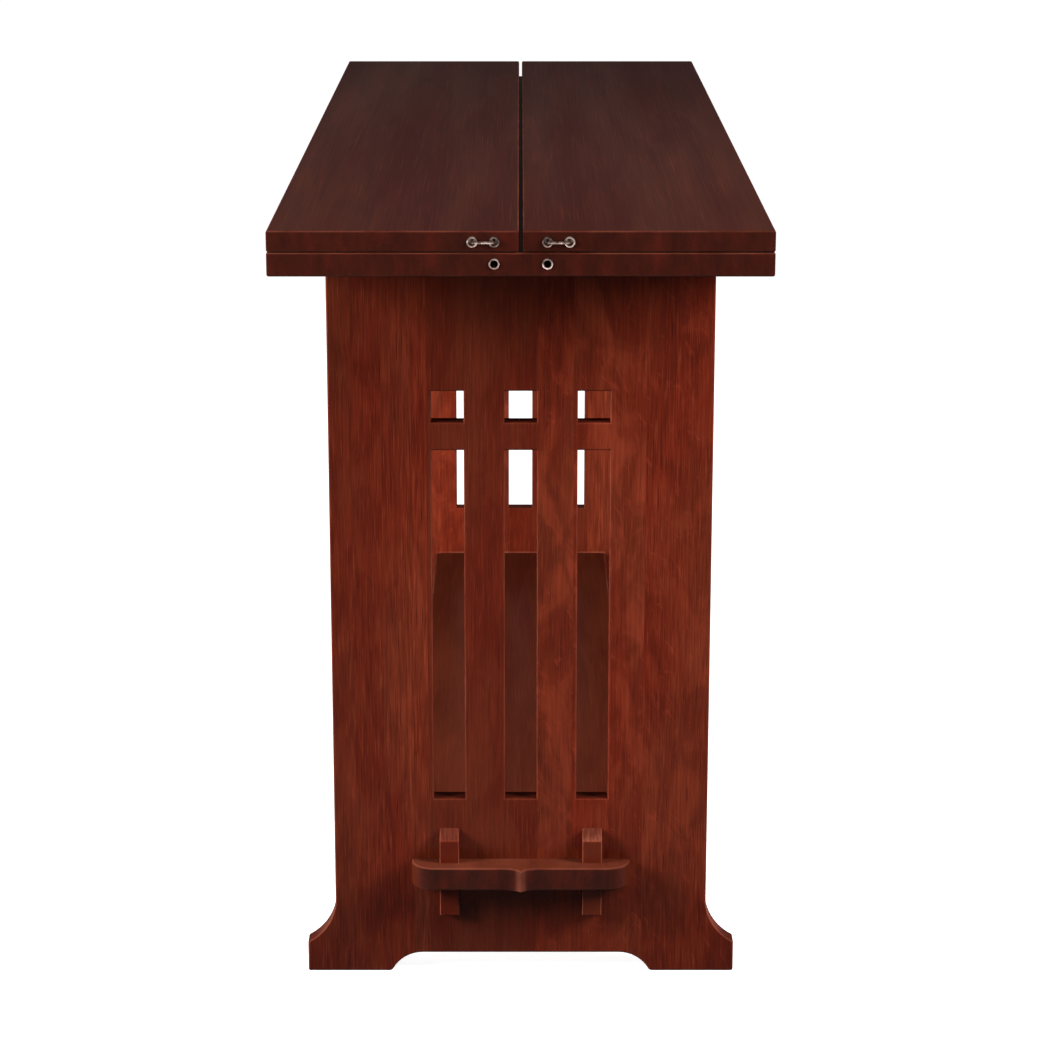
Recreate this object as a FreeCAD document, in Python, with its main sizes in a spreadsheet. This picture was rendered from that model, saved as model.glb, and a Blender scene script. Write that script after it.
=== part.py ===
import FreeCAD, Part
import math
import os
import re

import Sketcher

# Flip-top table: a fixed top on two slab ends, with two leaves folded onto it that flip out sideways.
# X runs across the table, Y along it and Z up; the origin is on the floor, under the middle of the top.
# Front is the end at -Y, left is the side at -X. Lengths are in millimetres.

SIZES = {
    # Whole table, closed
    "table_height": 762,
    "top_width": 457,
    "top_length": 1372,
    "top_thickness": 22,
    "leaf_thickness": 19.5,
    "leaf_gap": 3.5,
    "fold_gap": 0.3,
    "board_arris": 2,
    # End panels
    "panel_end_inset": 114,
    "panel_side_inset": 45.5,
    "panel_thickness": 21,
    "panel_arris": 1.8,
    "foot_reach": 28,
    "foot_length": 83.25,
    "foot_edge_height": 31,
    "foot_corner_radius": 2,
    "foot_tip_radius": 4,
    "flare_radius": 52,
    "arch_height": 19.5,
    "arch_radius": 34,
    "slot_pitch": 69.7,
    "slot_width": 31,
    "slot_bottom": 181.6,
    "bar_height": 27.1,
    "square_height": 30.4,
    "square_drop": 130.2,
    # Lower shelf and its keyed tenons
    "shelf_level": 119,
    "shelf_thickness": 23,
    "shelf_shoulder": 6,
    "shelf_arris": 2,
    "tenon_side_inset": 75.75,
    "tenon_reach": 27,
    "tenon_corner_radius": 24,
    "cusp_half_width": 17,
    "cusp_rise": 7,
    "key_inset": 37.25,
    "key_width": 19,
    "key_foot_depth": 10.5,
    "key_head_depth": 13,
    "key_foot_drop": 33,
    "key_head_rise": 32,
    "key_head_fall": 9,
    "key_arris": 1.2,
    "key_nose_radius": 3.5,
    "key_draw": 3,
    "joint_fit": 0.15,
    # Apron rails and top cleats
    "rail_inset": 18,
    "rail_thickness": 20,
    "rail_height": 70,
    "rail_arris": 1.5,
    "stub_length_share": 0.57,
    "stub_thickness_share": 0.5,
    "stub_height_share": 0.63,
    "cleat_size": 26,
    "cleat_end_gap": 2,
    "cleat_arris": 1.5,
    "cleat_screw_share": 0.385,
    "rail_screw_share": 0.64,
    "counterbore_fit": 0.9,
    # Wood screws
    "frame_screw_bite_share": 0.57,
    "frame_screw_radius": 2.1,
    "frame_screw_head_radius": 4.1,
    "frame_screw_head_height": 2.6,
    "frame_screw_tip_length": 6,
    "frame_screw_slot_width": 1.1,
    "frame_screw_slot_depth": 1.2,
    "hinge_screw_length": 15,
    "hinge_screw_radius": 1.4,
    "hinge_screw_head_radius": 2.8,
    "hinge_screw_head_height": 1.5,
    "hinge_screw_tip_length": 3.5,
    "hinge_screw_slot_width": 0.7,
    "hinge_screw_slot_depth": 0.8,
    "screw_fit": 0.05,
    # Leaf hinges
    "hinge_length": 60,
    "hinge_end_distance": 150,
    "hinge_plate_thickness": 2,
    "hinge_plate_margin": 4.5,
    "hinge_screw_rise_share": 0.6,
    "hinge_screw_pitch_share": 0.33,
    "hinge_pin_radius": 1.1,
    "hinge_pin_lip": 0.8,
    "hinge_pin_head_height": 0.8,
    "hinge_play": 0.05,
    "knuckle_wall": 1.35,
    "turning_gap": 0.35,
    # Eyelets and lock pins
    "eyelet_offset": 24,
    "leaf_eyelet_share": 0.482,
    "top_eyelet_share": 0.459,
    "eyelet_bore_radius": 3.5,
    "eyelet_wall": 0.6,
    "eyelet_flange_reach": 1.15,
    "eyelet_flange_height": 1.3,
    "eyelet_spare_depth": 3,
    "eyelet_fit": 0.05,
    "lock_wire_radius": 1.2,
    "lock_leg_depth": 24,
    "lock_bend_radius": 3,
    "lock_stand_off": 4.6,
    "lock_collar_inset": 10,
    "lock_collar_length": 11,
    "lock_collar_play": 0.2,
    # Pull-out leaf supports
    "support_width": 20,
    "support_height": 26,
    "support_end_inset": 16.5,
    "support_pair_gap": 30,
    "support_station_share": 0.6,
    "support_travel_share": 0.75,
    "support_arris": 1.5,
    "sliding_gap": 0.35,
    "peg_radius": 5,
    "peg_drop": 14,
    "peg_depth_share": 0.6,
    "peg_fit": 0.05,
    "peg_arris": 1.5,
    # Every cut runs past the face that it opens by this much
    "overrun": 5,
}

ENDS = {"front": -1, "rear": 1}
SIDES = {"left": -1, "right": 1}
STATIONS = {"front": -1, "middle": 0, "rear": 1}
COLUMNS = (-1, 0, 1)
SCREW_STEPS = (-1, 0, 1)
KNUCKLES_OF_TOP = (-2, 0, 2)
KNUCKLES_OF_LEAF = (-1, 1)
KNUCKLE_COUNT = len(KNUCKLES_OF_TOP + KNUCKLES_OF_LEAF)
QUARTER_TURN = 90
# An edge whose spread along an axis is less than this share of its length lies across that axis
FLAT_EDGE_SHARE = 0.01

# Places and sizes that follow from the sheet
PLACES = {
    "half_width": "top_width / 2",
    "half_length": "top_length / 2",
    "leaf_width": "half_width - leaf_gap / 2",
    "leaf_underside": "table_height - leaf_thickness",
    "top_face": "leaf_underside - fold_gap",
    "top_underside": "top_face - top_thickness",
    "panel_outer": "half_length - panel_end_inset",
    "panel_inner": "panel_outer - panel_thickness",
    "panel_middle": "panel_outer - panel_thickness / 2",
    "half_panel": "half_width - panel_side_inset",
    "half_foot": "half_panel + foot_reach",
    "flare_top": "foot_edge_height + sqrt(flare_radius ^ 2 - (flare_radius - foot_reach) ^ 2)",
    "half_arch_foot": "half_foot - foot_length",
    "half_arch": "half_arch_foot - sqrt(arch_radius ^ 2 - (arch_radius - arch_height) ^ 2)",
    "square_head": "top_underside - square_drop",
    "square_bottom": "square_head - square_height",
    "slot_head": "square_bottom - bar_height",
    "shelf_middle": "shelf_level - shelf_thickness / 2",
    "half_tenon": "half_panel - tenon_side_inset",
    "half_shelf": "half_tenon + shelf_shoulder",
    "lobe_end": "panel_outer + tenon_reach",
    "cusp_end": "lobe_end + cusp_rise",
    "cusp_radius": "(cusp_half_width ^ 2 + cusp_rise ^ 2) / (2 * cusp_rise)",
    "key_offset": "half_tenon - key_inset",
    "key_foot_level": "shelf_level - shelf_thickness - key_foot_drop",
    "key_head_level": "shelf_level + key_head_rise",
    "rail_outer": "half_panel - rail_inset",
    "rail_middle": "rail_outer - rail_thickness / 2",
    "rail_inner": "rail_outer - rail_thickness",
    "rail_underside": "top_underside - rail_height",
    "stub_length": "panel_thickness * stub_length_share",
    "stub_thickness": "rail_thickness * stub_thickness_share",
    "stub_height": "rail_height * stub_height_share",
    "cleat_length": "2 * (rail_inner - cleat_end_gap)",
    "cleat_middle": "panel_inner - cleat_size / 2",
    "cleat_underside": "top_underside - cleat_size",
    "cleat_screw_pitch": "cleat_length * cleat_screw_share",
    "frame_screw_bite": "min(panel_thickness; top_thickness) * frame_screw_bite_share",
    "frame_screw_length": "cleat_size + frame_screw_bite",
    "rail_screw_pitch": "support_station * rail_screw_share",
    "rail_screw_head_level": "top_underside + frame_screw_bite - frame_screw_length",
    "counterbore_radius": "frame_screw_head_radius + counterbore_fit",
    "hinge_axis_out": "half_width + fold_gap / 2",
    "hinge_axis_level": "top_face + fold_gap / 2",
    "hinge_end_station": "half_length - hinge_end_distance",
    "hinge_plate_height": "leaf_thickness - hinge_plate_margin",
    "hinge_screw_rise": "hinge_plate_height * hinge_screw_rise_share",
    "hinge_screw_pitch": "hinge_length * hinge_screw_pitch_share",
    "hinge_bore_radius": "hinge_pin_radius + hinge_play",
    "hinge_pin_head_radius": "hinge_pin_radius + hinge_pin_lip",
    "hinge_pin_length": "hinge_length + 2 * hinge_play",
    "hinge_recess_length": "hinge_length + 2 * (hinge_pin_head_height + turning_gap)",
    "knuckle_radius": "hinge_bore_radius + knuckle_wall",
    "knuckle_relief": "knuckle_radius + turning_gap",
    "knuckle_pitch": f"hinge_length / {KNUCKLE_COUNT}",
    "knuckle_length": "knuckle_pitch - turning_gap",
    "leaf_eyelet_level": "leaf_underside + leaf_thickness * leaf_eyelet_share",
    "top_eyelet_level": "top_face - top_thickness * top_eyelet_share",
    "eyelet_pitch": "leaf_eyelet_level - top_eyelet_level",
    "eyelet_tube_radius": "eyelet_bore_radius + eyelet_wall",
    "eyelet_flange_radius": "eyelet_tube_radius + eyelet_flange_reach",
    "eyelet_depth": "lock_leg_depth + eyelet_spare_depth",
    "support_level": "top_face - leaf_thickness - sliding_gap",
    "support_underside": "support_level - support_height",
    "support_outer_end": "half_width - support_end_inset",
    "support_station": "panel_inner * support_station_share",
    "support_stagger": "(support_width + support_pair_gap) / 2",
    "support_travel": "leaf_width * support_travel_share",
    "peg_depth": "support_height * peg_depth_share",
    "pull_peg_out": "rail_outer + sliding_gap + peg_radius",
    "stop_peg_out": "rail_inner - sliding_gap - peg_radius - support_travel",
}

X_AXIS = FreeCAD.Vector(1, 0, 0)
Y_AXIS = FreeCAD.Vector(0, 1, 0)
Z_AXIS = FreeCAD.Vector(0, 0, 1)
DIRECTIONS = {"x": X_AXIS, "y": Y_AXIS, "z": Z_AXIS}

doc = FreeCAD.newDocument("FlipTopTable")


# The sheet of driving sizes, and expressions on it

def fill_sheet():
    """One row per size: its name, and its number under that name as an alias."""
    sheet = doc.addObject("Spreadsheet::Sheet", "Sizes")
    for row, (name, number) in enumerate(SIZES.items(), start=1):
        sheet.set(f"A{row}", name)
        sheet.set(f"B{row}", str(number))
        sheet.setAlias(f"B{row}", name)
    doc.recompute()
    return sheet


def in_full(text):
    """An expression with each place worked out and each size read from the sheet."""
    def word(match):
        name = match[0]
        if name in PLACES:
            return "(" + in_full(PLACES[name]) + ")"
        return "Sizes." + name if name in SIZES else name
    return re.sub(r"\b[a-z][a-z_]*\b", word, text)


def value(text):
    """The number that an expression has now."""
    return float(sizes.evalExpression(in_full(text)))


def bind(item, **properties):
    """Ties properties of an object to expressions."""
    for name, text in properties.items():
        item.setExpression(name, in_full(text))


def bind_place(item, place):
    """Ties an object's position to three expressions."""
    for axis, text in zip("xyz", place):
        item.setExpression(f"Placement.Base.{axis}", in_full(text))


# Plain solids and booleans

def block(name, centre, size):
    """A box about its centre."""
    item = doc.addObject("Part::Box", name)
    bind(item, Length=size[0], Width=size[1], Height=size[2])
    bind_place(item, [f"({middle}) - ({span}) / 2" for middle, span in zip(centre, size)])
    return item


def rod(name, centre, axis, radius, length):
    """A cylinder about its centre, along the named axis."""
    item = doc.addObject("Part::Cylinder", name)
    item.Placement = FreeCAD.Placement(FreeCAD.Vector(), FreeCAD.Rotation(Z_AXIS, DIRECTIONS[axis]))
    bind(item, Radius=radius, Height=length)
    back = {axis: f" - ({length}) / 2"}
    bind_place(item, [f"({middle})" + back.get(way, "") for way, middle in zip("xyz", centre)])
    return item


def joined(name, items):
    """Several solids as one."""
    if len(items) == 1:
        return items[0]
    item = doc.addObject("Part::MultiFuse", name)
    item.Shapes = items
    return item


def carved(name, base, cuts):
    """A solid less the cuts."""
    item = doc.addObject("Part::Cut", name)
    item.Base = base
    item.Tool = joined(name + "_cuts", cuts)
    return item


def copies(name, pattern, places):
    """Separate copies of one solid, each at a point and with its own Z axis along a direction."""
    shapes = []
    for point, direction in places:
        turned = FreeCAD.Rotation(Z_AXIS, direction)
        shape = pattern.Shape.copy()
        shape.Placement = FreeCAD.Placement(FreeCAD.Vector(*[value(text) for text in point]), turned)
        shapes.append(shape)
    item = doc.addObject("Part::Feature", name)
    item.Shape = Part.makeCompound(shapes)
    return item


# Sketched bodies

def outline(sketch, corners):
    """A closed outline. A corner is (x, y), or (x, y, radius, turn) where an arc starts."""
    points = [FreeCAD.Vector(value(corner[0]), value(corner[1]), 0) for corner in corners]
    first = sketch.GeometryCount
    count = len(corners)
    ends = []
    for index, corner in enumerate(corners):
        start, stop = points[index], points[(index + 1) % count]
        if len(corner) == 2:
            sketch.addGeometry(Part.LineSegment(start, stop), False)
            ends.append((1, 2))
            continue
        radius, turn = value(corner[2]), corner[3]
        chord = stop - start
        rise = math.sqrt(radius ** 2 - chord.Length ** 2 / 4)
        across = FreeCAD.Vector(-chord.y, chord.x, 0).normalize() * (rise if turn == "left" else -rise)
        centre = start + chord / 2 + across
        low, high = (start, stop) if turn == "left" else (stop, start)
        angles = [math.atan2(point.y - centre.y, point.x - centre.x) for point in (low, high)]
        sketch.addGeometry(Part.ArcOfCircle(Part.Circle(centre, Z_AXIS, radius), *angles), False)
        ends.append((1, 2) if turn == "left" else (2, 1))
    for index, corner in enumerate(corners):
        piece = first + index
        following = (index + 1) % count
        sketch.addConstraint(Sketcher.Constraint("Coincident", piece, ends[index][1],
                                                 first + following, ends[following][0]))
        for kind, text in zip(("DistanceX", "DistanceY"), corner[:2]):
            mark = sketch.addConstraint(Sketcher.Constraint(kind, -1, 1, piece, ends[index][0], value(text)))
            sketch.setExpression(f"Constraints[{mark}]", in_full(text))
        if len(corner) == 4:
            mark = sketch.addConstraint(Sketcher.Constraint("Radius", piece, value(corner[2])))
            sketch.setExpression(f"Constraints[{mark}]", in_full(corner[2]))


def rectangle(left, right, low, high):
    """The corners of an upright rectangle."""
    return [(left, low), (right, low), (right, high), (left, high)]


def slab(name, plane, outlines, thickness):
    """A body padded evenly to both sides of one of its own planes."""
    body = doc.addObject("PartDesign::Body", name)
    support = [feature for feature in body.Origin.OriginFeatures if feature.Role == plane][0]
    sketch = body.newObject("Sketcher::SketchObject", name + "_outline")
    sketch.AttachmentSupport = [(support, "")]
    sketch.MapMode = "FlatFace"
    for corners in outlines:
        outline(sketch, corners)
    pad = body.newObject("PartDesign::Pad", name + "_pad")
    pad.Profile = sketch
    pad.SideType = "Symmetric"
    bind(pad, Length=thickness)
    doc.recompute()
    return body


def rounded(body, radius, chosen=None):
    """A small round along every edge of a body, or along the chosen ones."""
    base = body.Tip
    edges = enumerate(base.Shape.Edges, start=1)
    names = [f"Edge{index}" for index, edge in edges if chosen is None or chosen(edge)]
    fillet = body.newObject("PartDesign::Fillet", f"{body.Name}_{radius}")
    fillet.Base = (base, names)
    bind(fillet, Radius=radius)
    doc.recompute()
    return body


def flat_to(axis):
    """Picks the edges that lie across an axis, so the outlines of both faces of a slab."""
    def lies_flat(edge):
        return getattr(edge.BoundBox, axis + "Length") < edge.Length * FLAT_EDGE_SHARE
    return lies_flat


def at_foot_corner(edge):
    """Picks the edges through the thickness of an end panel at the outer corners of its feet."""
    through = edge.BoundBox.YLength > edge.Length / 2
    return through and abs(abs(edge.CenterOfMass.x) - value("half_foot")) < value("foot_corner_radius")


def at_foot_tip(edge):
    """Picks the edges through the thickness of an end panel where its feet meet the arch."""
    through = edge.BoundBox.YLength > edge.Length / 2
    low = edge.CenterOfMass.z < value("foot_corner_radius")
    return through and low and abs(edge.CenterOfMass.x) < value("half_arch_foot + foot_corner_radius")


def at_key_nose(edge):
    """Picks the edge across a tenon key where its sloping head meets its outer face."""
    across = edge.BoundBox.XLength > edge.Length / 2
    return across and abs(edge.CenterOfMass.z - value("key_head_level - key_head_fall")) < value("key_arris")


def at_key_side(edge):
    """Picks the outlines of a tenon key's two sides, and the edges across its foot."""
    return flat_to("X")(edge) or edge.CenterOfMass.z < value("shelf_level")


def board(name, centre, size, arris):
    """A plain board with its edges eased, placed by its centre."""
    half = [f"({span}) / 2" for span in size]
    corners = rectangle("-" + half[0], half[0], "-" + half[1], half[1])
    body = rounded(slab(name, "XY_Plane", [corners], size[2]), arris)
    bind_place(body, centre)
    return body


# Screws

def screw_pattern(kind, ease):
    """A slotted countersunk wood screw, head at the origin and point along -Z, or the hole that it needs."""
    name = f"{kind}_{'hole' if ease else 'pattern'}"
    allowance = "screw_fit" if ease else "0"
    core = f"{kind}_radius + {allowance}"
    mouth = f"{kind}_head_radius + {allowance}"
    head = doc.addObject("Part::Cone", name + "_head")
    bind(head, Radius1=core, Radius2=mouth, Height=f"{kind}_head_height")
    bind_place(head, ("0", "0", f"-{kind}_head_height"))
    straight = f"({kind}_length - {kind}_tip_length)"
    shank = rod(name + "_shank", ("0", "0", f"-{straight} / 2"), "z", core, straight)
    tip = doc.addObject("Part::Cone", name + "_tip")
    tip_length = f"{kind}_tip_length + {allowance}"
    bind(tip, Radius1="0", Radius2=core, Height=tip_length)
    bind_place(tip, ("0", "0", f"-{straight} - ({tip_length})"))
    solid = joined(name + "_solid", [head, shank, tip])
    if ease:
        above = rod(name + "_mouth", ("0", "0", "overrun / 2"), "z", mouth, "overrun")
        return joined(name, [solid, above])
    slot = block(name + "_slot", ("0", "0", "0"),
                 (f"2 * ({kind}_head_radius + overrun)", f"{kind}_slot_width", f"2 * {kind}_slot_depth"))
    return carved(name, solid, [slot])


def hinge_station(station):
    """Where a hinge's middle lies along the table."""
    return f"{STATIONS[station]} * hinge_end_station"


def hinge_screws(side, level):
    """The places of the screws in one side's hinge plates."""
    return [((f"{SIDES[side]} * half_width", f"{hinge_station(station)} + {step} * hinge_screw_pitch", level),
             X_AXIS * SIDES[side]) for station in STATIONS for step in SCREW_STEPS]


def cleat_screws():
    """Screws of the top cleats: up into the top and, between them, outwards into the end panel."""
    places = []
    for end in ENDS.values():
        for step in SCREW_STEPS:
            point = (f"{step} * cleat_screw_pitch", f"{end} * cleat_middle", "cleat_underside")
            places.append((point, -Z_AXIS))
        for step in ENDS.values():
            point = (f"{step} * cleat_screw_pitch / 2", f"{end} * (panel_inner - cleat_size)",
                     "cleat_underside + cleat_size / 2")
            places.append((point, -Y_AXIS * end))
    return places


def rail_screws():
    """Screws up through the apron rails into the top, their heads at the ends of counterbores."""
    return [((f"{side} * rail_middle", f"{step} * rail_screw_pitch", "rail_screw_head_level"), -Z_AXIS)
            for side in SIDES.values() for step in SCREW_STEPS]


# Eyelets and lock pins

def eyelet_pattern():
    """A flanged tube along Z, the underside of its flange at the origin."""
    tube = rod("eyelet_tube", ("0", "0", "(eyelet_flange_height - eyelet_depth) / 2"), "z",
               "eyelet_tube_radius", "eyelet_depth + eyelet_flange_height")
    lip = doc.addObject("Part::Torus", "eyelet_lip")
    bind(lip, Radius1="eyelet_flange_radius - eyelet_flange_height", Radius2="eyelet_flange_height")
    below = block("eyelet_lip_below", ("0", "0", "-eyelet_flange_height"),
                  ("2 * (eyelet_flange_radius + overrun)", "2 * (eyelet_flange_radius + overrun)",
                   "2 * eyelet_flange_height"))
    flange = carved("eyelet_flange", lip, [below])
    bore = rod("eyelet_bore", ("0", "0", "0"), "z", "eyelet_bore_radius", "2 * (eyelet_depth + overrun)")
    return carved("eyelet_pattern", joined("eyelet_solid", [tube, flange]), [bore])


def leaf_eyelets(side):
    """Places of a leaf's eyelets: a pair in each end."""
    return [((f"{SIDES[side]} * (eyelet_offset + {step} * eyelet_pitch)", f"{end} * half_length",
              "leaf_eyelet_level"), Y_AXIS * end) for end in ENDS.values() for step in (0, 1)]


def top_eyelets():
    """Places of the fixed top's eyelets: one under each leaf's inner eyelet."""
    return [((f"{side} * eyelet_offset", f"{end} * half_length", "top_eyelet_level"), Y_AXIS * end)
            for side in SIDES.values() for end in ENDS.values()]


def eyelet_bores(name, places):
    """The holes that eyelets sit in."""
    reach = "2 * (eyelet_depth + overrun)"
    return [rod(f"{name}_{index}", point, "y", "eyelet_tube_radius + eyelet_fit", reach)
            for index, (point, direction) in enumerate(places)]


def lock_pin(end, side):
    """A wire staple: two collared legs in a leaf's eyelets, joined outside by a bar with round bends."""
    name = f"lock_pin_{end}_{side}"
    inward, across = ENDS[end], SIDES[side]
    bar_place = f"{inward} * (half_length + lock_stand_off)"
    leg_length = "lock_leg_depth + lock_stand_off - lock_bend_radius"
    leg_middle = f"{inward} * (half_length + lock_stand_off - lock_bend_radius - ({leg_length}) / 2)"
    collar_middle = f"{inward} * (half_length - lock_collar_inset - lock_collar_length / 2)"
    level = "leaf_eyelet_level"
    pieces = []
    for step, towards in ((0, 1), (1, -1)):
        leg = f"{across} * (eyelet_offset + {step} * eyelet_pitch)"
        pieces.append(rod(f"{name}_leg_{step}", (leg, leg_middle, level), "y", "lock_wire_radius",
                          leg_length))
        pieces.append(rod(f"{name}_collar_{step}", (leg, collar_middle, level), "y",
                          "eyelet_bore_radius - lock_collar_play", "lock_collar_length"))
        bend = doc.addObject("Part::Torus", f"{name}_bend_{step}")
        bend.Angle3 = QUARTER_TURN
        quarter = math.degrees(math.atan2(inward, -towards * across)) - QUARTER_TURN / 2
        bend.Placement = FreeCAD.Placement(FreeCAD.Vector(), FreeCAD.Rotation(Z_AXIS, quarter))
        bind(bend, Radius1="lock_bend_radius", Radius2="lock_wire_radius")
        bind_place(bend, (f"{leg} + {towards * across} * lock_bend_radius",
                          f"{bar_place} - {inward} * lock_bend_radius", level))
        pieces.append(bend)
    bar_middle = f"{across} * (eyelet_offset + eyelet_pitch / 2)"
    pieces.append(rod(f"{name}_bar", (bar_middle, bar_place, level), "x", "lock_wire_radius",
                      "eyelet_pitch - 2 * lock_bend_radius"))
    return joined(name, pieces)


# Leaf hinges

def hinge_recesses(side, of_leaf):
    """Mortises for one side's hinge plates in a board's edge, deeper at the corner for the knuckles."""
    cuts = []
    out = SIDES[side]
    edge, away = ("leaf_underside", 1) if of_leaf else ("top_face", -1)
    height = "hinge_plate_height + overrun"
    for station in STATIONS:
        name = f"{side}_{'leaf' if of_leaf else 'top'}_recess_{station}"
        along = hinge_station(station)
        cuts.append(block(name, (f"{out} * (half_width + (overrun - hinge_plate_thickness) / 2)", along,
                                 f"{edge} + {away} * (({height}) / 2 - overrun)"),
                          ("hinge_plate_thickness + overrun", "hinge_length", height)))
        cuts.append(block(name + "_corner", (f"{out} * hinge_axis_out", along, "hinge_axis_level"),
                          ("2 * knuckle_relief", "hinge_recess_length", "2 * knuckle_relief")))
    return cuts


def knuckles(name, side, station, radius, length, turns):
    """Short lengths of a hinge's barrel, each at its own turn along it."""
    out, middle = f"{SIDES[side]} * hinge_axis_out", hinge_station(station)
    return [rod(f"{name}_{index}", (out, f"{middle} + {turn} * knuckle_pitch", "hinge_axis_level"), "y",
                radius, length) for index, turn in enumerate(turns)]


def hinge_plate(name, side, station, of_leaf, screw_holes):
    """A hinge plate let into a board's edge, with its own knuckles and room for the other plate's."""
    own, other = (KNUCKLES_OF_LEAF, KNUCKLES_OF_TOP) if of_leaf else (KNUCKLES_OF_TOP, KNUCKLES_OF_LEAF)
    edge, away = ("leaf_underside", 1) if of_leaf else ("top_face", -1)
    along = hinge_station(station)
    plate = block(name + "_plate", (f"{SIDES[side]} * (half_width - hinge_plate_thickness / 2)", along,
                                    f"{edge} + {away} * hinge_plate_height / 2"),
                  ("hinge_plate_thickness", "hinge_length", "hinge_plate_height"))
    room = knuckles(name + "_room", side, station, "knuckle_relief", "knuckle_pitch + turning_gap", other)
    barrel = knuckles(name + "_knuckle", side, station, "knuckle_radius", "knuckle_length", own)
    bore = rod(name + "_bore", (f"{SIDES[side]} * hinge_axis_out", along, "hinge_axis_level"), "y",
               "hinge_bore_radius", "hinge_length + overrun")
    solid = joined(name + "_solid", [carved(name + "_flat", plate, room), *barrel])
    return carved(name, solid, [bore, screw_holes])


def hinge_pin(name, side, station):
    """A pin through all the knuckles of a hinge, with a button head at each end."""
    out, along = f"{SIDES[side]} * hinge_axis_out", hinge_station(station)
    level = "hinge_axis_level"
    pieces = [rod(name + "_shaft", (out, along, level), "y", "hinge_pin_radius", "hinge_pin_length")]
    for end, sign in ENDS.items():
        head = f"{along} + {sign} * (hinge_pin_length + hinge_pin_head_height) / 2"
        pieces.append(rod(f"{name}_head_{end}", (out, head, level), "y", "hinge_pin_head_radius",
                          "hinge_pin_head_height"))
    return joined(name, pieces)


# Leaf supports

def support_along(end, side):
    """Where a support lies along the table: the two of one end pass side by side."""
    return f"{ENDS[end]} * support_station + {SIDES[side]} * support_stagger"


def each_support():
    """The four supports: one for each side at each end."""
    return [(end, side) for end in ENDS for side in SIDES]


def support_grooves():
    """Grooves in the underside of the top that the supports run in, open at the edge they come out of."""
    cuts = []
    for end, side in each_support():
        out = SIDES[side]
        reach = "half_width + overrun + rail_outer + sliding_gap"
        middle = f"{out} * (half_width + overrun - ({reach}) / 2)"
        depth = "top_thickness - leaf_thickness + overrun"
        cuts.append(block(f"groove_{end}_{side}", (middle, support_along(end, side),
                                                   f"top_underside - overrun + ({depth}) / 2"),
                          (reach, "support_width + 2 * sliding_gap", depth)))
    return cuts


def rail_notches(rail):
    """Notches in the upper edge of an apron rail that the supports slide through."""
    depth = "top_underside + overrun - support_underside + sliding_gap"
    return [block(f"{rail}_notch_{end}_{side}",
                  (f"{SIDES[rail]} * rail_middle", support_along(end, side),
                   f"top_underside + overrun - ({depth}) / 2"),
                  ("rail_thickness + overrun", "support_width + 2 * sliding_gap", depth))
            for end, side in each_support()]


def peg_places(end, side):
    """The stop peg inside its rail and the pull peg outside it, under a support."""
    return [(f"{SIDES[side]} * {out}", support_along(end, side)) for out in ("stop_peg_out", "pull_peg_out")]


def support(end, side):
    """A square bar that slides out under an open leaf, bored from below for its pegs."""
    name = f"leaf_support_{end}_{side}"
    length = "support_outer_end + rail_outer"
    along = support_along(end, side)
    bar = board(name + "_bar", (f"{SIDES[side]} * (support_outer_end - ({length}) / 2)", along,
                                "support_underside + support_height / 2"),
                (length, "support_width", "support_height"), "support_arris")
    holes = [rod(f"{name}_hole_{index}", (out, y, "support_underside"), "z", "peg_radius + peg_fit",
                 "2 * (peg_depth + peg_fit)") for index, (out, y) in enumerate(peg_places(end, side))]
    return carved(name, bar, holes)


def support_pegs(end, side):
    """The two turned pegs of one support."""
    name = f"support_pegs_{end}_{side}"
    length = "peg_depth + peg_drop"
    middle = "support_underside + (peg_depth - peg_drop) / 2"
    pegs = []
    for index, (out, along) in enumerate(peg_places(end, side)):
        peg = doc.addObject("PartDesign::Body", f"{name}_{index}")
        turned = peg.newObject("PartDesign::AdditiveCylinder", f"{name}_{index}_turned")
        bind(turned, Radius="peg_radius", Height=length)
        doc.recompute()
        rounded(peg, "peg_arris", flat_to("Z"))
        bind_place(peg, (out, along, f"{middle} - ({length}) / 2"))
        pegs.append(peg)
    group = doc.addObject("Part::Compound", name)
    group.Links = pegs
    return group


# The boards of the table

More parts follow.
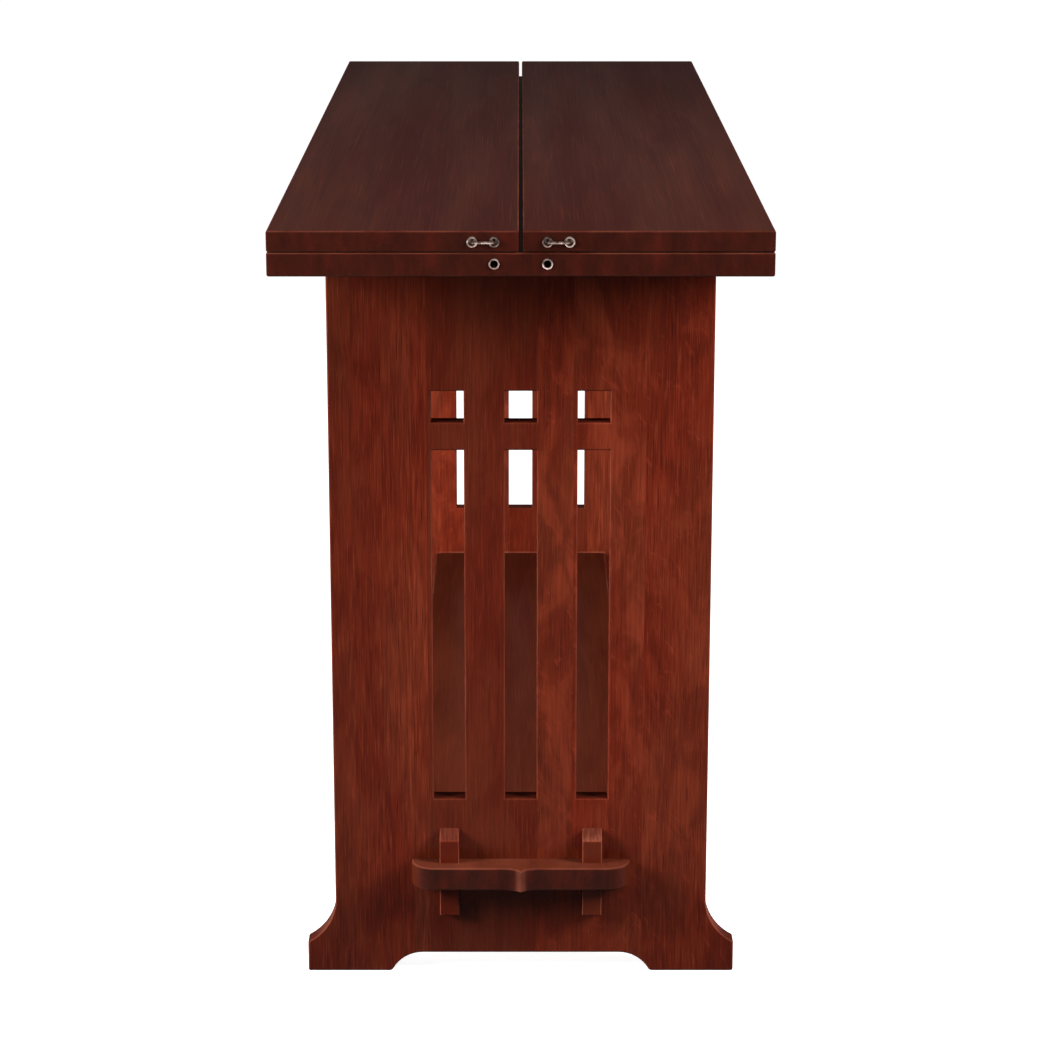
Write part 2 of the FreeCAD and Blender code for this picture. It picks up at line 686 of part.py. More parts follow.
def end_panel(end):
    """A slab end: flared feet, an arch between them, columns of cut-outs and the mortises of its joints."""
    name = f"end_panel_{end}"
    profile = [
        ("half_arch", "arch_height", "arch_radius", "right"),
        ("half_arch_foot", "0"),
        ("half_foot", "0"),
        ("half_foot", "foot_edge_height", "flare_radius", "right"),
        ("half_panel", "flare_top"),
        ("half_panel", "top_underside"),
        ("-half_panel", "top_underside"),
        ("-half_panel", "flare_top", "flare_radius", "right"),
        ("-half_foot", "foot_edge_height"),
        ("-half_foot", "0"),
        ("-half_arch_foot", "0", "arch_radius", "right"),
        ("-half_arch", "arch_height"),
    ]
    openings = []
    for column in COLUMNS:
        left = f"{column} * slot_pitch - slot_width / 2"
        right = f"{column} * slot_pitch + slot_width / 2"
        openings.append(rectangle(left, right, "square_bottom", "square_head"))
        openings.append(rectangle(left, right, "slot_bottom", "slot_head"))
    plain = slab(name + "_slab", "XZ_Plane", [profile, *openings], "panel_thickness")
    rounded(plain, "foot_corner_radius", at_foot_corner)
    rounded(plain, "foot_tip_radius", at_foot_tip)
    rounded(plain, "panel_arris", flat_to("Y"))
    bind_place(plain, ("0", f"{ENDS[end]} * panel_middle", "0"))
    cuts = [block(f"{name}_tenon_mortise", ("0", f"{ENDS[end]} * panel_middle", "shelf_middle"),
                  ("2 * (half_tenon + joint_fit)", "panel_thickness + overrun",
                   "shelf_thickness + 2 * joint_fit"))]
    for side, out in SIDES.items():
        level = "rail_underside + rail_height / 2"
        cuts.append(block(f"{name}_{side}_stub_mortise",
                          (f"{out} * rail_middle", f"{ENDS[end]} * panel_inner", level),
                          ("stub_thickness + 2 * joint_fit", "2 * (stub_length + joint_fit)",
                           "stub_height + 2 * joint_fit")))
    return carved(name, plain, [*cuts, frame_holes])


def key_profile(end, ease):
    """Side view of a tenon key against the panel: its outer face leans, and its head slopes down outwards."""
    face = f"{ENDS[end]} * panel_outer"
    inner = f"{face} - {ENDS[end]} * key_draw" if ease else face
    room = "joint_fit" if ease else "0"
    return [
        (inner, "key_foot_level"),
        (f"{face} + {ENDS[end]} * (key_foot_depth + {room})", "key_foot_level"),
        (f"{face} + {ENDS[end]} * (key_head_depth + {room})", "key_head_level - key_head_fall"),
        (inner, "key_head_level"),
    ]


def tenon_key(end, side):
    """A wedge that draws the shelf's shoulders tight against the end panel."""
    key = slab(f"tenon_key_{end}_{side}", "YZ_Plane", [key_profile(end, False)], "key_width")
    rounded(key, "key_nose_radius", at_key_nose)
    rounded(key, "key_arris", at_key_side)
    bind_place(key, (f"{SIDES[side]} * key_offset", "0", "0"))
    return key


def lower_shelf():
    """A long board with shoulders inside the end panels and brace-shaped tenon ends outside them."""
    half_end = [
        ("half_tenon", "lobe_end - tenon_corner_radius", "tenon_corner_radius", "left"),
        ("half_tenon - tenon_corner_radius", "lobe_end"),
        ("cusp_half_width", "lobe_end", "cusp_radius", "right"),
        ("0", "cusp_end", "cusp_radius", "right"),
        ("-cusp_half_width", "lobe_end"),
        ("tenon_corner_radius - half_tenon", "lobe_end", "tenon_corner_radius", "left"),
        ("-half_tenon", "lobe_end - tenon_corner_radius"),
    ]
    rear = [("half_shelf", "panel_inner"), ("half_tenon", "panel_inner"), *half_end,
            ("-half_tenon", "panel_inner"), ("-half_shelf", "panel_inner")]
    front = [(f"-({corner[0]})", f"-({corner[1]})", *corner[2:]) for corner in rear]
    plain = slab("lower_shelf_slab", "XY_Plane", [rear + front], "shelf_thickness")
    rounded(plain, "shelf_arris", flat_to("Z"))
    bind_place(plain, ("0", "0", "shelf_middle"))
    mortises = []
    for end in ENDS:
        for side, out in SIDES.items():
            mortise = slab(f"key_mortise_{end}_{side}", "YZ_Plane", [key_profile(end, True)],
                           "key_width + 2 * joint_fit")
            bind_place(mortise, (f"{out} * key_offset", "0", "0"))
            mortises.append(mortise)
    return carved("lower_shelf", plain, mortises)


def fixed_top():
    """The board that the leaves fold onto."""
    plain = board("fixed_top_board", ("0", "0", "top_face - top_thickness / 2"),
                  ("top_width", "top_length", "top_thickness"), "board_arris")
    cuts = [*support_grooves(), *eyelet_bores("top_eyelet_bore", top_eyelets()), top_hinge_holes, frame_holes]
    for side in SIDES:
        cuts += hinge_recesses(side, False)
    return carved("fixed_top", plain, cuts)


def leaf(side):
    """A leaf: half the top's width, hinged on the outer edge."""
    name = f"leaf_{side}"
    middle = f"{SIDES[side]} * (half_width - leaf_width / 2)"
    plain = board(name + "_board", (middle, "0", "leaf_underside + leaf_thickness / 2"),
                  ("leaf_width", "top_length", "leaf_thickness"), "board_arris")
    bores = eyelet_bores(name + "_bore", leaf_eyelets(side))
    return carved(name, plain, [*hinge_recesses(side, True), *bores, leaf_hinge_holes[side]])


def apron_rail(side):
    """A rail between the end panels, with stub tenons, notches for supports and counterbores for screws."""
    name = f"apron_rail_{side}"
    middle = f"{SIDES[side]} * rail_middle"
    level = "rail_underside + rail_height / 2"
    bar = board(name + "_bar", (middle, "0", level), ("rail_thickness", "2 * panel_inner", "rail_height"),
                "rail_arris")
    stub_middle = "panel_inner + (stub_length - overrun) / 2"
    stub_size = ("stub_thickness", "stub_length + overrun", "stub_height")
    stubs = [block(f"{name}_stub_{end}", (middle, f"{sign} * ({stub_middle})", level), stub_size)
             for end, sign in ENDS.items()]
    bore_depth = "rail_screw_head_level - rail_underside"
    bore_level = f"rail_underside + ({bore_depth} - overrun) / 2"
    counterbores = [rod(f"{name}_counterbore_{index}", (middle, f"{step} * rail_screw_pitch", bore_level),
                        "z", "counterbore_radius", f"{bore_depth} + overrun")
                    for index, step in enumerate(SCREW_STEPS)]
    solid = joined(name + "_solid", [bar, *stubs])
    return carved(name, solid, [*rail_notches(side), *counterbores, frame_holes])


def top_cleat(end):
    """A batten in the corner between an end panel and the top."""
    name = f"top_cleat_{end}"
    bar = board(name + "_bar", ("0", f"{ENDS[end]} * cleat_middle", "cleat_underside + cleat_size / 2"),
                ("cleat_length", "cleat_size", "cleat_size"), "cleat_arris")
    return carved(name, bar, [frame_holes])


sizes = fill_sheet()

frame_screw = screw_pattern("frame_screw", False)
frame_hole = screw_pattern("frame_screw", True)
hinge_screw = screw_pattern("hinge_screw", False)
hinge_hole = screw_pattern("hinge_screw", True)
eyelet = eyelet_pattern()
doc.recompute()

frame_holes = copies("frame_holes", frame_hole, cleat_screws() + rail_screws())
top_screw_level = "top_face - hinge_screw_rise"
leaf_screw_level = "leaf_underside + hinge_screw_rise"
top_hinge_places = [place for side in SIDES for place in hinge_screws(side, top_screw_level)]
top_hinge_holes = copies("top_hinge_holes", hinge_hole, top_hinge_places)
leaf_hinge_holes = {side: copies(f"{side}_leaf_hinge_holes", hinge_hole, hinge_screws(side, leaf_screw_level))
                    for side in SIDES}

nodes = [
    fixed_top(),
    lower_shelf(),
    copies("cleat_screws", frame_screw, cleat_screws()),
    copies("rail_screws", frame_screw, rail_screws()),
    copies("top_hinge_screws", hinge_screw, top_hinge_places),
    copies("top_eyelets", eyelet, top_eyelets()),
]
for end in ENDS:
    nodes += [end_panel(end), top_cleat(end)]
for side in SIDES:
    nodes += [
        apron_rail(side),
        leaf(side),
        copies(f"leaf_{side}_hinge_screws", hinge_screw, hinge_screws(side, leaf_screw_level)),
        copies(f"leaf_{side}_eyelets", eyelet, leaf_eyelets(side)),
    ]
    for station in STATIONS:
        nodes += [
            hinge_plate(f"top_hinge_plate_{side}_{station}", side, station, False, top_hinge_holes),
            hinge_plate(f"leaf_hinge_plate_{side}_{station}", side, station, True, leaf_hinge_holes[side]),
            hinge_pin(f"hinge_pin_{side}_{station}", side, station),
        ]
for end, side in each_support():
    nodes += [tenon_key(end, side), lock_pin(end, side), support(end, side), support_pegs(end, side)]

doc.recompute()

failed = [item.Name for item in doc.Objects if "Invalid" in item.State or "Error" in item.State]
failed += [node.Name for node in nodes if node.Shape.isNull() or not node.Shape.isValid()]
if failed:
    raise RuntimeError("not built: " + ", ".join(failed))

os.makedirs("parts", exist_ok=True)
for node in nodes:
    node.Label = node.Name
    node.Shape.exportStep(os.path.join("parts", node.Label + ".step"))
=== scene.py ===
import math

import bpy
import numpy as np
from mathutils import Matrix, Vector


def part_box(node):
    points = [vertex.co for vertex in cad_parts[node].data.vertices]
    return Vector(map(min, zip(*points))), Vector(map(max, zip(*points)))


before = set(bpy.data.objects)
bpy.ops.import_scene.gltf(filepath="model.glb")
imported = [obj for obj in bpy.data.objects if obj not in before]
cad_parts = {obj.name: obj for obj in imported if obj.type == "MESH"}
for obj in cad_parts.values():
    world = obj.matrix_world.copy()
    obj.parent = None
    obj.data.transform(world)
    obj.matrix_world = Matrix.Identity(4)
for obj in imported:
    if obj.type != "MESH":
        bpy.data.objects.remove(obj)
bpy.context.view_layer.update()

# Looks of a flip-top table in red-brown stained wood. Lengths are in metres, and the front of the table
# faces -Y.

AXES = "xyz"

# Sizes taken from the frame. The two ends and the two sides are alike.
shelf_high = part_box("lower_shelf")[1]
SHELF_TOP = shelf_high.z
SHELF_HALF_WIDTH = shelf_high.x
panel_low, panel_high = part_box("end_panel_front")
PANEL_OUTER = -panel_low.y
PANEL_INNER = -panel_high.y
eyelets_low, eyelets_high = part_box("leaf_right_eyelets")
BETWEEN_EYELETS = (eyelets_low.x + eyelets_high.x) / 2


def shown(red, green, blue):
    """The linear colour of 8-bit display values: v/12.92 up to 0.04045, else ((v + 0.055)/1.055)^2.4."""
    parts = np.array([red, green, blue]) / 255
    linear = np.where(parts <= 0.04045, parts / 12.92, ((parts + 0.055) / 1.055) ** 2.4)
    return (*linear.tolist(), 1.0)


class Level:
    """A socket to reckon with: sums and products of levels add Math nodes to their finish."""

    def __init__(self, finish, socket):
        self.finish = finish
        self.socket = socket

    def math(self, operation, *values):
        return self.finish.node("ShaderNodeMath", {"operation": operation}, dict(enumerate(values)))

    def __add__(self, other):
        return self.math("ADD", self, other)

    __radd__ = __add__

    def __sub__(self, other):
        return self.math("SUBTRACT", self, other)

    def __rsub__(self, other):
        return self.math("SUBTRACT", other, self)

    def __mul__(self, other):
        return self.math("MULTIPLY", self, other)

    __rmul__ = __mul__


class Finish:
    """A node tree that a finish of the table, the floor or the room is made in."""

    def __init__(self, tree):
        self.tree = tree
        tree.nodes.clear()

    def node(self, kind, settings=None, sockets=None, output=0):
        """Adds a node: its settings first, a ramp's stops among them, then its sockets' values or links."""
        made = self.tree.nodes.new(kind)
        for name, setting in (settings or {}).items():
            if name == "stops":
                fill_ramp(made.color_ramp, setting)
            else:
                setattr(made, name, setting)
        for name, value in (sockets or {}).items():
            if isinstance(value, Level):
                self.tree.links.new(value.socket, made.inputs[name])
            else:
                made.inputs[name].default_value = value
        return Level(self, made.outputs[output]) if made.outputs else made

    def place(self):
        """Where a point lies on the table at rest."""
        return self.node("ShaderNodeTexCoord", output="Object")

    def part(self, vector, axis):
        """One of a vector's three parts."""
        return self.node("ShaderNodeSeparateXYZ", sockets={0: vector}, output=AXES.index(axis))

    def from_middle(self, axis):
        """How far a point lies from the table's middle along an axis."""
        away = self.node("ShaderNodeVectorMath", {"operation": "ABSOLUTE"}, {0: self.place()})
        return self.part(away, axis)

    def facing(self, axis):
        """How far the surface faces along an axis, squared, so from 0 to 1."""
        part = self.part(self.node("ShaderNodeTexCoord", output="Normal"), axis)
        return part * part

    def band(self, value, low, high):
        """0 below low and 1 above high, with a smooth step between."""
        return self.node("ShaderNodeMapRange", {"interpolation_type": "SMOOTHSTEP"},
                         {"Value": value, "From Min": low, "From Max": high})

    def noise(self, place, cells, detail=2.0, roughness=0.5, distortion=0.0):
        """Noise about zero, mostly within a quarter either way; cells are per metre along each axis."""
        spread = self.node("ShaderNodeMapping", sockets={"Vector": place, "Scale": cells})
        return self.node("ShaderNodeTexNoise", sockets={
            "Vector": spread, "Scale": 1.0, "Detail": detail, "Roughness": roughness,
            "Distortion": distortion}) - 0.5

    def ramp(self, value, stops):
        return self.node("ShaderNodeValToRGB", {"stops": stops}, {"Fac": value})

    def mix(self, share, first, second):
        """One colour turning to another by a share."""
        return self.node("ShaderNodeMix", {"data_type": "RGBA"}, {0: share, 6: first, 7: second}, output=2)

    def bump(self, height, depth):
        """The surface's direction where a height from 0 to 1 stands that deep."""
        return self.node("ShaderNodeBump", sockets={"Strength": 1.0, "Distance": depth, "Height": height})

    def rays(self, *kinds):
        """For each kind of ray, 1 where such a ray arrives and 0 elsewhere."""
        return [self.node("ShaderNodeLightPath", output=f"Is {kind} Ray") for kind in kinds]

    def shade(self, **sockets):
        """A Principled shader with the named sockets, put out."""
        named = {name.replace("_", " "): value for name, value in sockets.items()}
        shader = self.node("ShaderNodeBsdfPrincipled", sockets=named)
        self.node("ShaderNodeOutputMaterial", sockets={"Surface": shader})


def fill_ramp(ramp, stops):
    """Sets a ramp's stops, each a place from 0 to 1 and a colour."""
    ramp.elements.remove(ramp.elements[-1])
    for index, (spot, colour) in enumerate(stops):
        element = ramp.elements.new(spot) if index else ramp.elements[0]
        element.position = spot
        element.color = colour


def new_finish(name):
    """An empty material and the finish to make in it."""
    material = bpy.data.materials.new(name)
    material.use_nodes = True
    return material, Finish(material.node_tree)


# Stained wood

RED_STAIN = [(0.2, shown(56, 18, 11)), (0.42, shown(88, 28, 16)), (0.58, shown(110, 36, 20)),
             (0.8, shown(143, 52, 31))]
BROWN_STAIN = [(0.2, shown(50, 20, 12)), (0.42, shown(82, 33, 19)), (0.58, shown(104, 40, 23)),
               (0.8, shown(139, 56, 34))]
END_GRAIN = [(0.3, shown(42, 15, 10)), (0.5, shown(60, 22, 14)), (0.7, shown(84, 28, 19))]
PALE_HAIR = shown(152, 70, 45)
DARK_PORE = shown(44, 15, 10)
PALE_FLECK = shown(158, 62, 42)
# Pale wood on arrises and on faces turned to the light: painted highlight and sheen, in part rubbed wear.
RUBBED_EDGE_AND_HIGHLIGHT = shown(170, 98, 76)

# Cells of each noise per metre: along the grain, or up the table for rings and rubs, and across.
FIBRES = (18, 430)
HAIRS = (30, 900)
BLOTCHES = (15, 33)
CLOUDS = (4, 13)
FLECKS = (50, 150)
RINGS = (22, 70)
RUBS = (24, 24)

FLECK_SLANT = math.radians(32)
GRAIN_DEPTH = 0.00008


def along(grain, cells, length=1.0):
    """Cells per metre on each axis: the first number along the grain, fewer for a longer figure, and the
    second across it."""
    with_grain, across_grain = cells
    return tuple(with_grain / length if axis == grain else across_grain for axis in AXES)


def even_board(finish, place):
    """A single board: its place, tone, streaks and blotches as they come."""
    return place, 0.0, 0.3, 0.25


def calm_board(finish, place):
    """A broad smooth board with little figure."""
    return place, 0.0, 0.12, 0.15


def shelf_board(finish, place):
    """The shelf's board, painted darker between the panels as shade and paler on its tenons, out past the
    panels, as painted light.
    """
    tenon = finish.band(finish.from_middle("y"), PANEL_INNER, PANEL_OUTER)
    return place, 0.07 * tenon - 0.1, 0.12, 0.15


def arris(axis):
    """A mark that is 1 halfway round the edge between a face across an axis and one along it."""
    def mark(finish):
        facing = finish.facing(axis)
        return 4 * facing * (1 - facing)
    return mark


# Half the width of the painted highlight down the point of each tenon's end.
POINT_HIGHLIGHT_HALF_WIDTH = 0.0067


def shelf_highlights_and_wear(finish):
    """The mark of the shelf's arrises and its tenons' tops, painted highlight and sheen in part over rubbed
    wear, and of a painted highlight down the point in the middle of each tenon's end."""
    across = finish.part(finish.place(), "x")
    point = finish.band(across * across, POINT_HIGHLIGHT_HALF_WIDTH ** 2, 0.0)
    point = point * finish.band(finish.facing("y"), 0.1, 0.5)
    tenon = finish.band(finish.from_middle("y"), PANEL_INNER, PANEL_OUTER)
    wear_and_sheen = tenon * finish.band(finish.facing("z"), 0.5, 0.9)
    return arris("z")(finish) + 1.6 * point + 0.4 * wear_and_sheen


def key_highlights_and_scuffs(finish):
    """The mark of a key's side edges as painted highlights, in part rubbed wear, and of a painted sheen on
    its sloping head, broken up by scuffs.
    """
    rise = finish.part(finish.node("ShaderNodeTexCoord", output="Normal"), "z")
    scuffs = finish.band(finish.noise(finish.place(), (900, 60, 60), detail=2), -0.15, 0.2)
    return arris("x")(finish) + finish.band(rise, 0.2, 0.55) * (0.35 + 0.65 * scuffs)


def with_flecks(finish, colour, place, grain, blotch):
    """Adds short pale flecks that slant across the grain where a board is blotchy."""
    slanting = finish.node("ShaderNodeMapping", sockets={"Vector": place, "Rotation": (0, FLECK_SLANT, 0)})
    flecks = finish.noise(slanting, along(grain, FLECKS), detail=2, distortion=1.0)
    share = 0.24 * finish.band(flecks, 0.1, 0.26) * finish.band(blotch, 0.3, 0.4)
    return finish.mix(share, colour, PALE_FLECK)


def with_end_grain(finish, colour, place, grain, fibres, share):
    """Adds the darker, ringed end grain on the faces across the grain."""
    rings = finish.noise(place, along("z", RINGS), detail=3, roughness=0.6)
    ends = finish.ramp(0.5 + 0.6 * rings + 0.2 * fibres, END_GRAIN)
    return finish.mix(share * finish.band(finish.facing(grain), 0.3, 0.75), colour, ends)


def with_rubbed_and_highlit_edges(finish, colour, place, mark, share):
    """Adds paler wood on the marked edges: painted highlights where light would catch them, and in part
    rubbed wear, more in some places than in others.
    """
    wear_and_sheen = finish.band(finish.noise(place, along("z", RUBS), detail=3), -0.2, 0.2)
    return finish.mix(share * (0.25 + 0.75 * wear_and_sheen) * mark, colour, RUBBED_EDGE_AND_HIGHLIGHT)


def wood(name, grain, board=even_board, depth=0.0, length=1.0, edges=arris("z"), edge_share=0.25,
         end_share=0.8, lacquer=0.06, brown=0.0):
    """Stained wood: streaks and hair lines along the grain, blotches where the stain took unevenly, red
    and brown by turns, slanting flecks on a blotchy board, a darker end grain, arrises painted paler as
    highlights and in part as rubbed wear, and a thin coat of lacquer."""
    material, finish = new_finish(name)
    place, tone, streak, blotch = board(finish, finish.place())
    fibres = finish.noise(place, along(grain, FIBRES, length), detail=3, roughness=0.6)
    hairs = finish.noise(place, along(grain, HAIRS, length), detail=1)
    pale_hairs = finish.band(hairs, 0.08, 0.24)
    dark_pores = finish.band(hairs, -0.08, -0.24)
    blotches = finish.noise(place, along(grain, BLOTCHES, length), detail=4, roughness=0.55, distortion=0.7)
    patches = finish.band(blotches, -0.12, 0.14) - 0.5
    clouds = finish.noise(place, along(grain, CLOUDS, length), detail=2)
    value = 0.5 + depth + tone + streak * fibres + 0.35 * blotch * patches + 0.3 * clouds
    browned = finish.band(brown + clouds + 0.5 * blotches, -0.15, 0.15)
    colour = finish.mix(browned, finish.ramp(value, RED_STAIN), finish.ramp(value, BROWN_STAIN))
    colour = finish.mix(0.6 * streak * pale_hairs, colour, PALE_HAIR)
    colour = finish.mix(0.9 * streak * dark_pores, colour, DARK_PORE)
    colour = with_flecks(finish, colour, place, grain, blotch)
    colour = with_end_grain(finish, colour, place, grain, fibres, end_share)
    colour = with_rubbed_and_highlit_edges(finish, colour, place, edges(finish), edge_share)
    finish.shade(Base_Color=colour, Roughness=0.46 + 0.2 * clouds + 0.1 * fibres, Specular_IOR_Level=0.0,
                 Coat_Weight=lacquer * (1 + clouds), Coat_Roughness=0.25,
                 Normal=finish.bump(0.5 + fibres - 0.4 * dark_pores, GRAIN_DEPTH))
    return material


# The four glued boards of an end panel, seen from outside: where each ends across the panel, then its
# tone, streaks and blotches at its left and right edges. In the ramp that holds them a tone of 0 is 0.5.
PANEL_HALF_WIDTH = 0.183
PANEL_BOARDS = (
    (-0.0895, (-0.04, 0.34, 0.3), (0.075, 0.6, 0.25)),
    (0.0155, (-0.02, 0.3, 0.2), (-0.015, 0.3, 0.2)),
    (0.1195, (0.04, 0.3, 0.55), (0.11, 0.36, 0.5)),
    (PANEL_HALF_WIDTH, (0.065, 0.48, 0.4), (0.055, 0.45, 0.4)),
)
GLUE_LINE = 0.0004

# Boards that differ by a step in tone, streaks or blotches get grain from another place.
BOARD_STEP = (0.08, 0.08, 0.08)
GRAIN_SHIFT = (0.0, 3.0, 7.0)

# Heights where the painted shade on a foot and the painted highlight on its arrises fade out, and where each
# is full.
FOOT_SHADE = (0.15, 0.03)
FOOT_ARRIS_HIGHLIGHT = (0.12, 0.06)

# The painted highlight line's height over the shelf, and the width that it fades over.
RIM_HIGHLIGHT_HEIGHT = 0.0016
RIM_HIGHLIGHT_FADE = 0.001


def panel_boards(turn):
    """The boards of an end panel that faces -Y after a turn about Z; each board's grain starts afresh, and
    the feet are painted a little darker, as shade."""
    stops = []
    left = -PANEL_HALF_WIDTH
    for right, *characters in PANEL_BOARDS:
        for spot, (tone, streak, blotch) in zip((left + GLUE_LINE, right - GLUE_LINE), characters):
            share = 0.5 + 0.5 * spot / PANEL_HALF_WIDTH
            stops.append((share, (0.5 + tone, streak, blotch, 1.0)))
        left = right

    def board(finish, place):
        turned = finish.node("ShaderNodeMapping", sockets={"Vector": place, "Rotation": (0, 0, turn)})
        share = 0.5 + finish.part(turned, "x") * (0.5 / PANEL_HALF_WIDTH)
        character = finish.ramp(share, stops)
        tone, streak, blotch = (finish.part(character, axis) for axis in AXES)
        foot = finish.band(finish.part(place, "z"), *FOOT_SHADE)
        start = finish.node("ShaderNodeVectorMath", {"operation": "SNAP"}, {0: character, 1: BOARD_STEP})
        afresh = finish.node("ShaderNodeVectorMath", {"operation": "MULTIPLY_ADD"},
                             {0: start, 1: GRAIN_SHIFT, 2: turned})
        return afresh, tone - 0.5 - 0.07 * foot, streak, blotch
    return board


def shelf_rim_highlight(finish):
    """The mark of a thin painted highlight line over the shelf on a panel's inner face, where the mortise's
    eased edge would catch the light.
    """
    up = finish.part(finish.place(), "z") - SHELF_TOP
    foot = finish.band(up, -0.2 * RIM_HIGHLIGHT_FADE, 0.2 * RIM_HIGHLIGHT_FADE)
    head = finish.band(up, RIM_HIGHLIGHT_HEIGHT + RIM_HIGHLIGHT_FADE, RIM_HIGHLIGHT_HEIGHT)
    ends = finish.band(finish.from_middle("x"), SHELF_HALF_WIDTH + 1.5 * RIM_HIGHLIGHT_FADE,
                       SHELF_HALF_WIDTH - 1.5 * RIM_HIGHLIGHT_FADE)
    inside = finish.band(finish.from_middle("y"), PANEL_INNER + 5 * RIM_HIGHLIGHT_FADE, PANEL_INNER + RIM_HIGHLIGHT_FADE)
    return foot * head * ends * inside


def panel_edge_highlights(finish):
    """The mark of a panel's arrises as painted highlights, in part rubbed wear, fainter on level edges and
    brighter round the feet, and of the painted highlight line of the rim.
    """
    arrises = 4 * finish.facing("y") * (finish.facing("x") + 0.25 * finish.facing("z"))
    foot = finish.band(finish.part(finish.place(), "z"), *FOOT_ARRIS_HIGHLIGHT)
    return arrises * (1 + 2.2 * foot) + 2 * shelf_rim_highlight(finish)


# Metals

EYELET_FADE = 0.0045
FINE_SCUFF = 0.00002


def nickel(name, bright, roughness, seam_shade=0.0):
    """Dull nickel plate, rubbed bright in places, with fine scuffs and a little tarnish; the seam argument
    says how much darker the eyelets next to the gap between the leaves are painted, as shadow."""
    material, finish = new_finish(name)
    place = finish.place()
    tarnish_and_shade = 1.6 * finish.noise(place, (260, 260, 260), detail=4, roughness=0.6)
    across = finish.from_middle("x")
    by_seam = finish.band(across, BETWEEN_EYELETS + EYELET_FADE, BETWEEN_EYELETS - EYELET_FADE)
    # Painted shadow: the eyelets next to the gap between the leaves are made darker.
    tarnish_and_shade = tarnish_and_shade - seam_shade * by_seam
    scuffs = finish.noise(place, (2600, 900, 2600), detail=2)
    colour = finish.ramp(0.45 + bright + tarnish_and_shade, [(0.3, shown(84, 66, 60)), (0.55, shown(142, 118, 110)),
                                                   (0.8, shown(206, 182, 172)), (1.0, shown(236, 216, 206))])
    finish.shade(Base_Color=colour, Metallic=1.0, Roughness=roughness + 0.3 * tarnish_and_shade + 0.1 * scuffs,
                 Normal=finish.bump(0.5 + scuffs, FINE_SCUFF))
    return material


def brass(name):
    """Satin brass, browner where it has aged, with fine lines along the hinge."""
    material, finish = new_finish(name)
    place = finish.place()
    age = finish.noise(place, (130, 60, 130), detail=4, roughness=0.6)
    lines = finish.noise(place, (4200, 90, 4200), detail=2)
    colour = finish.ramp(0.5 + age + 0.3 * lines, [(0.2, shown(96, 70, 36)), (0.5, shown(168, 132, 74)),
                                                   (0.8, shown(204, 172, 110))])
    finish.shade(Base_Color=colour, Metallic=1.0, Roughness=0.36 + 0.3 * age,
                 Normal=finish.bump(0.5 + lines, FINE_SCUFF))
    return material


def zinc(name):
    """Zinc plate on steel, spangled and a little clouded."""
    material, finish = new_finish(name)
    place = finish.place()
    cloud = finish.noise(place, (300, 300, 300), detail=3, roughness=0.6)
    spangle = finish.noise(place, (1500, 1500, 1500), detail=1)
    colour = finish.ramp(0.5 + cloud + 0.5 * spangle, [
        (0.2, shown(128, 128, 126)), (0.6, shown(186, 186, 182)), (0.8, shown(214, 212, 204))])
    finish.shade(Base_Color=colour, Metallic=1.0, Roughness=0.34 + 0.25 * cloud)
    return material


def finishes():
    """Each finish, under the words that mark the names of the nodes it goes on; the first match holds."""
    screws = zinc("screw_zinc")
    # The tops' depth paints them darker than the panels, as shade for the weaker light that falls on them.
    tops = wood("top_wood", "y", calm_board, depth=-0.26, length=5.0, edge_share=0.2, end_share=0.9,
                lacquer=0.08)
    front, rear = (wood(name, "z", panel_boards(turn), edges=panel_edge_highlights, edge_share=0.2)
                   for name, turn in (("front_panel_wood", 0), ("rear_panel_wood", math.pi)))
    return {
        "top_eyelets": nickel("top_eyelet_nickel", bright=0.2, roughness=0.25),
        "eyelets": nickel("leaf_eyelet_nickel", bright=0.22, roughness=0.25, seam_shade=0.3),
        "lock_pin": nickel("pin_nickel", bright=0.16, roughness=0.4),
        "hinge": brass("hinge_brass"),
        "cleat_screws": screws,
        "rail_screws": screws,
        "end_panel_front": front,
        "end_panel_rear": rear,
        # The shelf's depth paints it a little darker, as shade.
        "lower_shelf": wood("shelf_wood", "y", shelf_board, depth=-0.06, length=3.0, edges=shelf_highlights_and_wear,
                            end_share=1.0, lacquer=0.08, brown=0.2),
        "tenon_key": wood("key_wood", "z", calm_board, edges=key_highlights_and_scuffs, edge_share=0.6, end_share=0.8),
        "apron_rail": wood("rail_wood", "y"),
        "top_cleat": wood("cleat_wood", "x"),
        "leaf_support": wood("support_wood", "x"),
        "support_pegs": wood("peg_wood", "z", end_share=0.5),
        "leaf": tops,
        "fixed_top": tops,
    }


def dress_table():
    """Gives every node its finish."""
    looks = finishes()
    for name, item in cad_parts.items():
        look = next(look for mark, look in looks.items() if mark in name)
        item.data.materials.clear()
        item.data.materials.append(look)


# Floor, light and camera

def grey(level):
    """A linear grey."""
    return (level, level, level, 1.0)


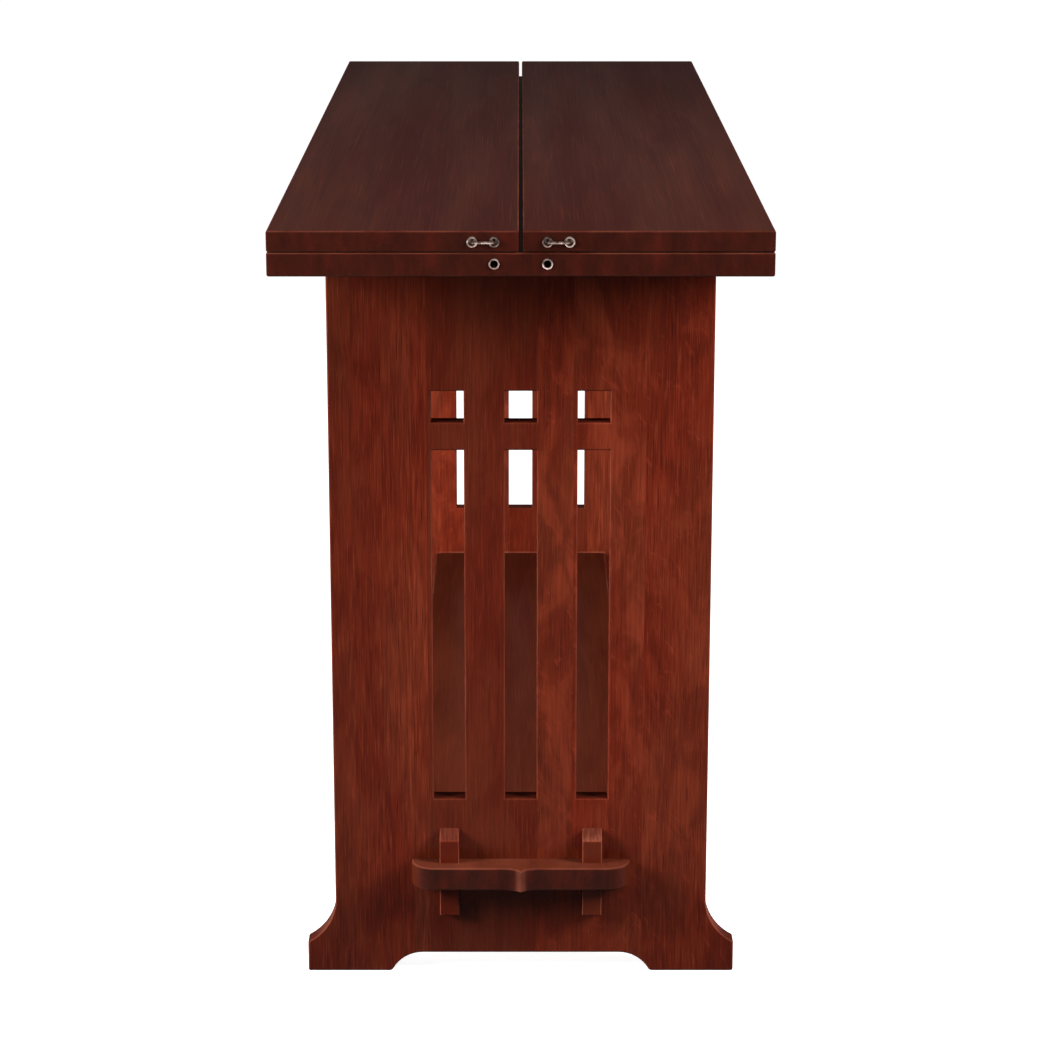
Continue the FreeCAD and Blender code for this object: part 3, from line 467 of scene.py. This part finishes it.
def floor_finish():
    """A white floor that keeps shadows: to the eye and in reflections it also glows, more so away from
    the table, and to other rays it is a duller grey."""
    material, finish = new_finish("white_floor")
    camera, glossy, transmission = finish.rays("Camera", "Glossy", "Transmission")
    seen = finish.band(camera + glossy + transmission, 0.0, 1.0)
    away = finish.node("ShaderNodeVectorMath", {"operation": "LENGTH"}, {0: finish.place()}, output="Value")
    glow = finish.ramp(finish.band(away, 0.7, 2.6), [(0.0, grey(0.82)), (1.0, grey(1.0))])
    light = finish.node("ShaderNodeEmission", sockets={"Color": glow, "Strength": 1.0})
    white = finish.node("ShaderNodeBsdfDiffuse", sockets={"Color": grey(0.8)})
    lit = finish.node("ShaderNodeAddShader", sockets={0: light, 1: white})
    dull = finish.node("ShaderNodeBsdfDiffuse", sockets={"Color": grey(0.03)})
    surface = finish.node("ShaderNodeMixShader", sockets={0: seen, 1: dull, 2: lit})
    finish.node("ShaderNodeOutputMaterial", sockets={"Surface": surface})
    return material


def lay_floor():
    """A flat square of floor under the table."""
    reach = 40.0
    mesh = bpy.data.meshes.new("floor")
    corners = reach * np.array([(-1, -1, 0), (1, -1, 0), (1, 1, 0), (-1, 1, 0)])
    mesh.from_pydata(corners.tolist(), [], [(0, 1, 2, 3)])
    mesh.materials.append(floor_finish())
    floor = bpy.data.objects.new("floor", mesh)
    bpy.context.scene.collection.objects.link(floor)


def soft_lamp(name, place, target, width, height, watts):
    """An upright soft lamp turned to a point."""
    lamp = bpy.data.lights.new(name, "AREA")
    lamp.shape = "RECTANGLE"
    lamp.size = width
    lamp.size_y = height
    lamp.energy = watts
    lamp.spread = math.radians(110)
    item = bpy.data.objects.new(name, lamp)
    bpy.context.scene.collection.objects.link(item)
    item.location = place
    item.rotation_euler = (Vector(place) - Vector(target)).to_track_quat("Z", "Y").to_euler()
    item.visible_camera = False
    item.visible_glossy = False


def light_table():
    """A soft lamp at each side towards the front, the right one higher, a low one at the left, a pair
    behind, and a room that is white to the eye, grey in reflections and dim to other rays."""
    front = (0, -0.45, 0.65)
    inside = (0, 0.2, 0.4)
    rear = (0, 0.5, 0.4)
    soft_lamp("left_lamp", (-1.88, -1.25, 1.18), front, width=0.7, height=0.9, watts=28)
    soft_lamp("right_lamp", (1.88, -1.25, 1.75), front, width=0.7, height=1.4, watts=37)
    soft_lamp("low_left_lamp", (-2.1, -0.35, 0.3), inside, width=1.0, height=0.5, watts=13)
    soft_lamp("rear_left_lamp", (-2.2, 3.0, 0.75), rear, width=1.2, height=1.0, watts=26)
    soft_lamp("rear_right_lamp", (2.2, 3.0, 0.75), rear, width=1.2, height=1.0, watts=26)
    world = bpy.data.worlds.new("room")
    world.use_nodes = True
    bpy.context.scene.world = world
    room = Finish(world.node_tree)
    camera, glossy, transmission = room.rays("Camera", "Glossy", "Transmission")
    strength = 0.04 + 0.96 * camera + 0.96 * transmission + 0.46 * glossy
    walls = room.node("ShaderNodeBackground", sockets={"Color": grey(1.0), "Strength": strength})
    room.node("ShaderNodeOutputWorld", sockets={"Surface": walls})


def set_camera():
    """The photograph's view: from beyond the front end, above the top, looking down a little."""
    camera = bpy.data.cameras.new("camera")
    camera.sensor_width = 36.0
    camera.lens = 104.55
    camera.clip_end = 200.0
    item = bpy.data.objects.new("camera", camera)
    bpy.context.scene.collection.objects.link(item)
    item.location = (-0.0007, -3.361, 1.2073)
    item.rotation_euler = (math.radians(75.08), 0, 0)
    bpy.context.scene.camera = item


dress_table()
lay_floor()
light_table()
set_camera()
bpy.context.scene.view_settings.view_transform = "Standard"
